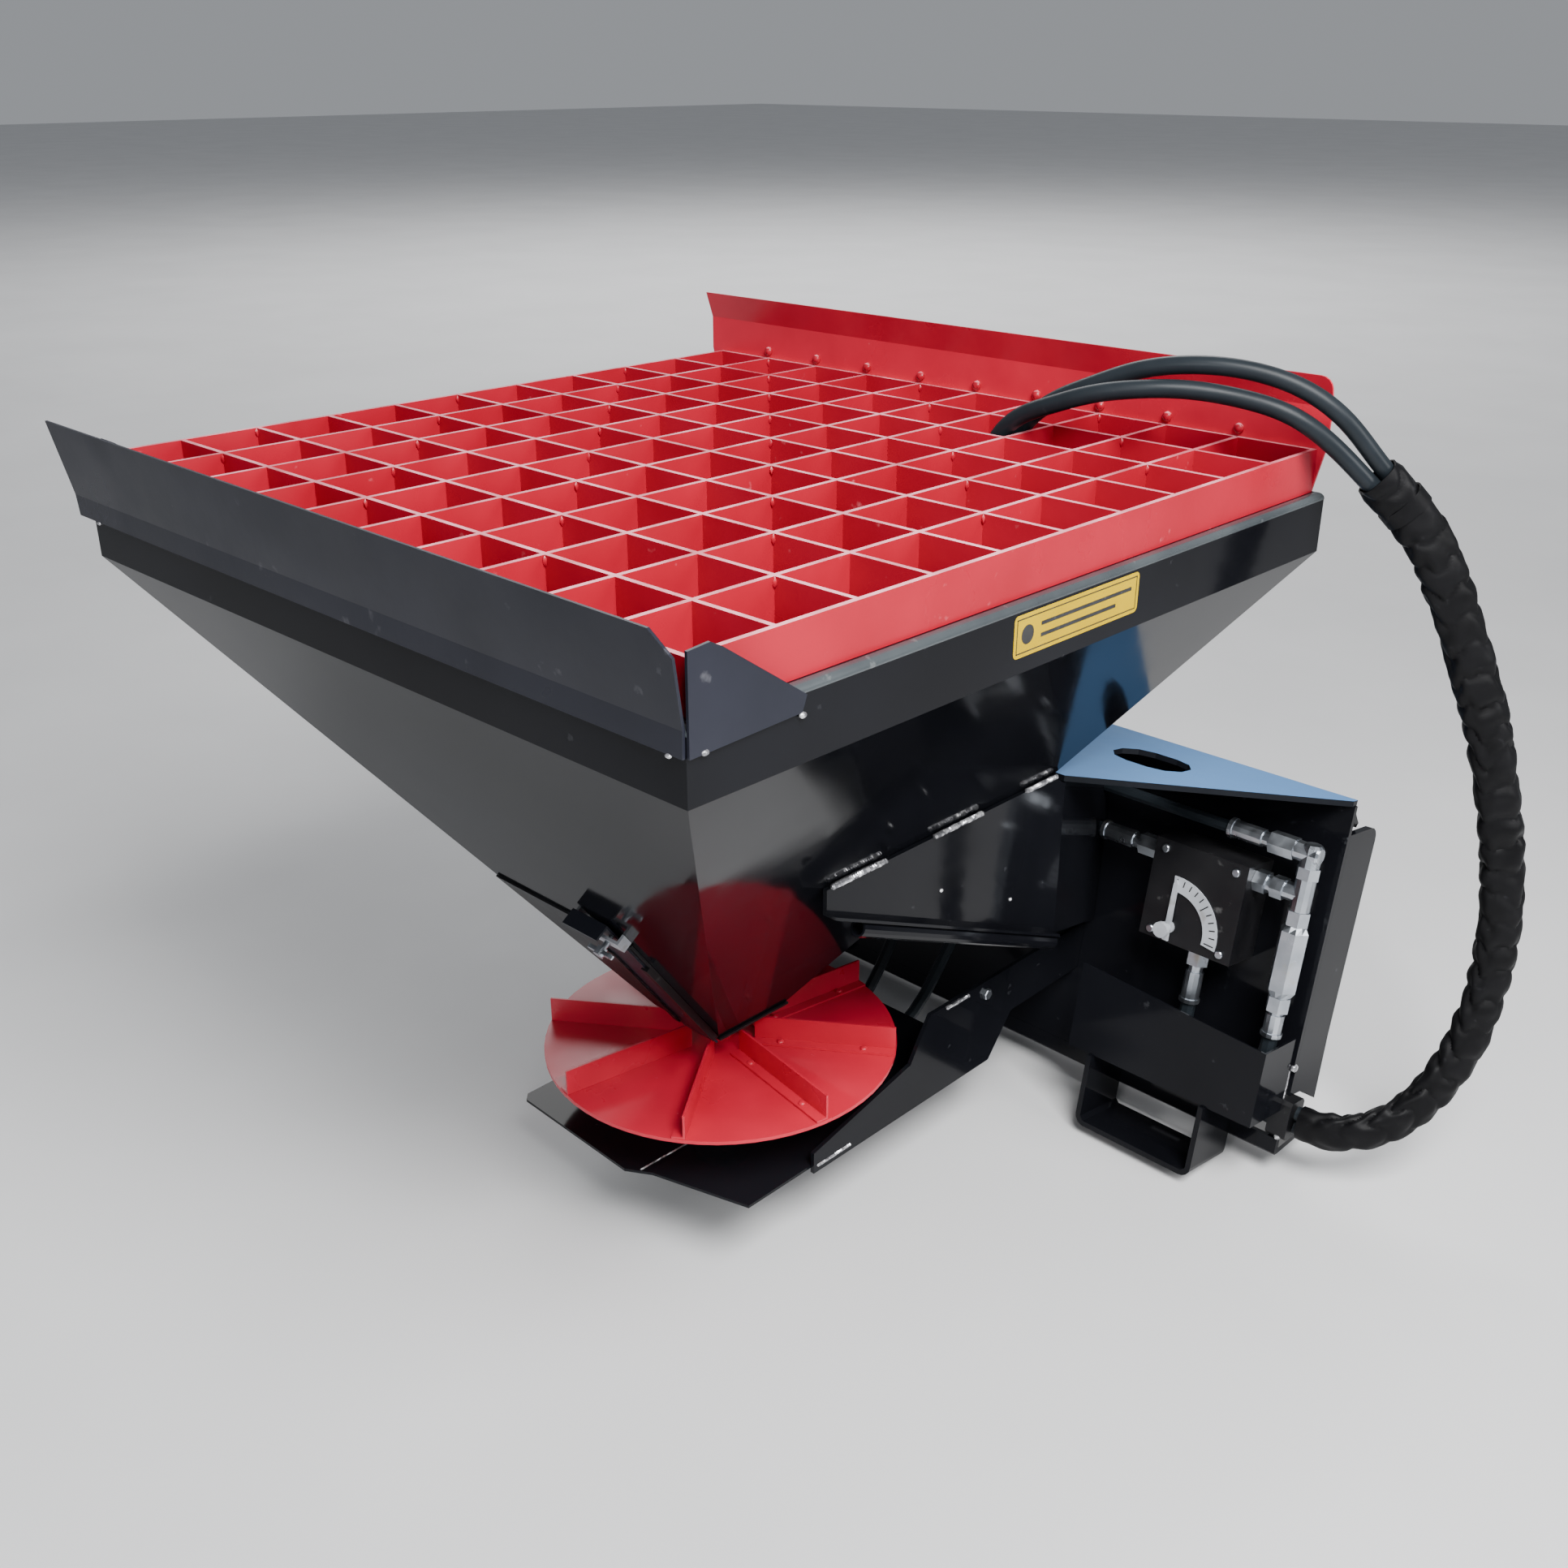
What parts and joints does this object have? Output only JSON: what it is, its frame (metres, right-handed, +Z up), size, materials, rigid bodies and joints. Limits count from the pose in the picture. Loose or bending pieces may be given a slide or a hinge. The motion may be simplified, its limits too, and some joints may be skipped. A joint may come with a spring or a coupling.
{
  "type": "hydraulic salt spreader attachment",
  "caption": "Square hopper with a bar grate, sliding gate and hydraulic spinner disc on a quick-attach frame with control valve, hoses and feet.",
  "frame": {"origin": "on the ground, under the middle of the rigid part's bounding box (hoses, sleeve, couplers and hose outlet block left out)", "axes": "+Z up, +X to the side with the valve and hoses, +Y towards the loader"},
  "size_m": [1.3661, 1.2622, 1.1569],
  "materials": {
    "gloss_black_paint": "high gloss powder coat",
    "top_plate_paint": "satin steel blue",
    "red_powder_coat": "satin powder coat",
    "zinc_plate": "bright zinc plate",
    "bare_steel": "machined",
    "cast_black_paint": "satin black paint over casting",
    "hose_rubber": "smooth matt hose cover",
    "sleeve_fabric": "woven nylon, wrinkled"
  },
  "bodies": {
    "frame": {"hopper_shell": "gloss_black_paint", "hopper_spout": "gloss_black_paint", "front_lip_guard": "gloss_black_paint", "lip_wing_right": "gloss_black_paint", "lip_wing_left": "gloss_black_paint", "outlet_floor": "gloss_black_paint", "gate_rails": "gloss_black_paint", "spinner_pan": "gloss_black_paint", "arm_right": "gloss_black_paint", "arm_left": "gloss_black_paint", "side_frame_right": "gloss_black_paint", "side_frame_left": "gloss_black_paint", "loader_plate": "gloss_black_paint", "loader_hook_lip": "gloss_black_paint", "loader_cheek_right": "gloss_black_paint", "loader_cheek_left": "gloss_black_paint", "loader_latch_ledge": "gloss_black_paint", "stand_right": "gloss_black_paint", "stand_left": "gloss_black_paint", "lower_cover": "gloss_black_paint", "frame_top_plate": "top_plate_paint", "grate": "red_powder_coat", "rear_deflector": "red_powder_coat", "gate_bridge": "zinc_plate", "dial_plate": "zinc_plate", "fitting_1": "zinc_plate", "fitting_2": "zinc_plate", "elbow_fitting": "zinc_plate", "tee_fitting": "zinc_plate", "check_valve": "zinc_plate", "check_hose_end": "zinc_plate", "fitting_3": "zinc_plate", "motor_port_right": "zinc_plate", "motor_port_left": "zinc_plate", "supply_coupler": "zinc_plate", "return_coupler": "zinc_plate", "hose_block": "bare_steel", "motor_body": "cast_black_paint", "valve_body": "cast_black_paint", "motor_hose_a": "hose_rubber", "motor_hose_b": "hose_rubber", "valve_hose_inner": "hose_rubber", "valve_hose_outer": "hose_rubber", "supply_hose": "hose_rubber", "return_hose": "hose_rubber", "hose_sleeve": "sleeve_fabric"},
    "spinner": {"spinner_disc": "red_powder_coat", "spinner_hub": "bare_steel", "motor_shaft": "bare_steel", "spinner_vane_1": "red_powder_coat", "spinner_vane_2": "red_powder_coat", "spinner_vane_3": "red_powder_coat", "spinner_vane_4": "red_powder_coat", "spinner_vane_5": "red_powder_coat", "spinner_vane_6": "red_powder_coat", "spinner_vane_7": "red_powder_coat", "spinner_vane_8": "red_powder_coat"},
    "gate": {"gate_plate": "gloss_black_paint"},
    "clamp": {"gate_clamp": "zinc_plate"},
    "lever": {"flow_lever": "zinc_plate"}
  },
  "joints": [
    {"name": "spinner_spin", "type": "hinge", "parent": "frame", "child": "spinner", "pos_m": [0, -0.0868, 0.2336], "axis": [0, 0, 1], "continuous": true},
    {"name": "gate_slide", "type": "slide", "parent": "frame", "child": "gate", "axis": [0, -0.585, 0.811], "range_m": [0, 0.08]},
    {"name": "clamp_turn", "type": "hinge", "parent": "frame", "child": "clamp", "pos_m": [0.052, -0.30834, 0.50639], "axis": [0, -0.811, -0.585], "range_deg": [-90, 90]},
    {"name": "flow_lever_turn", "type": "hinge", "parent": "frame", "child": "lever", "pos_m": [0.38, 0.43456, 0.34485], "axis": [0, 0.9848, -0.1736], "range_deg": [0, 95]}
  ]
}
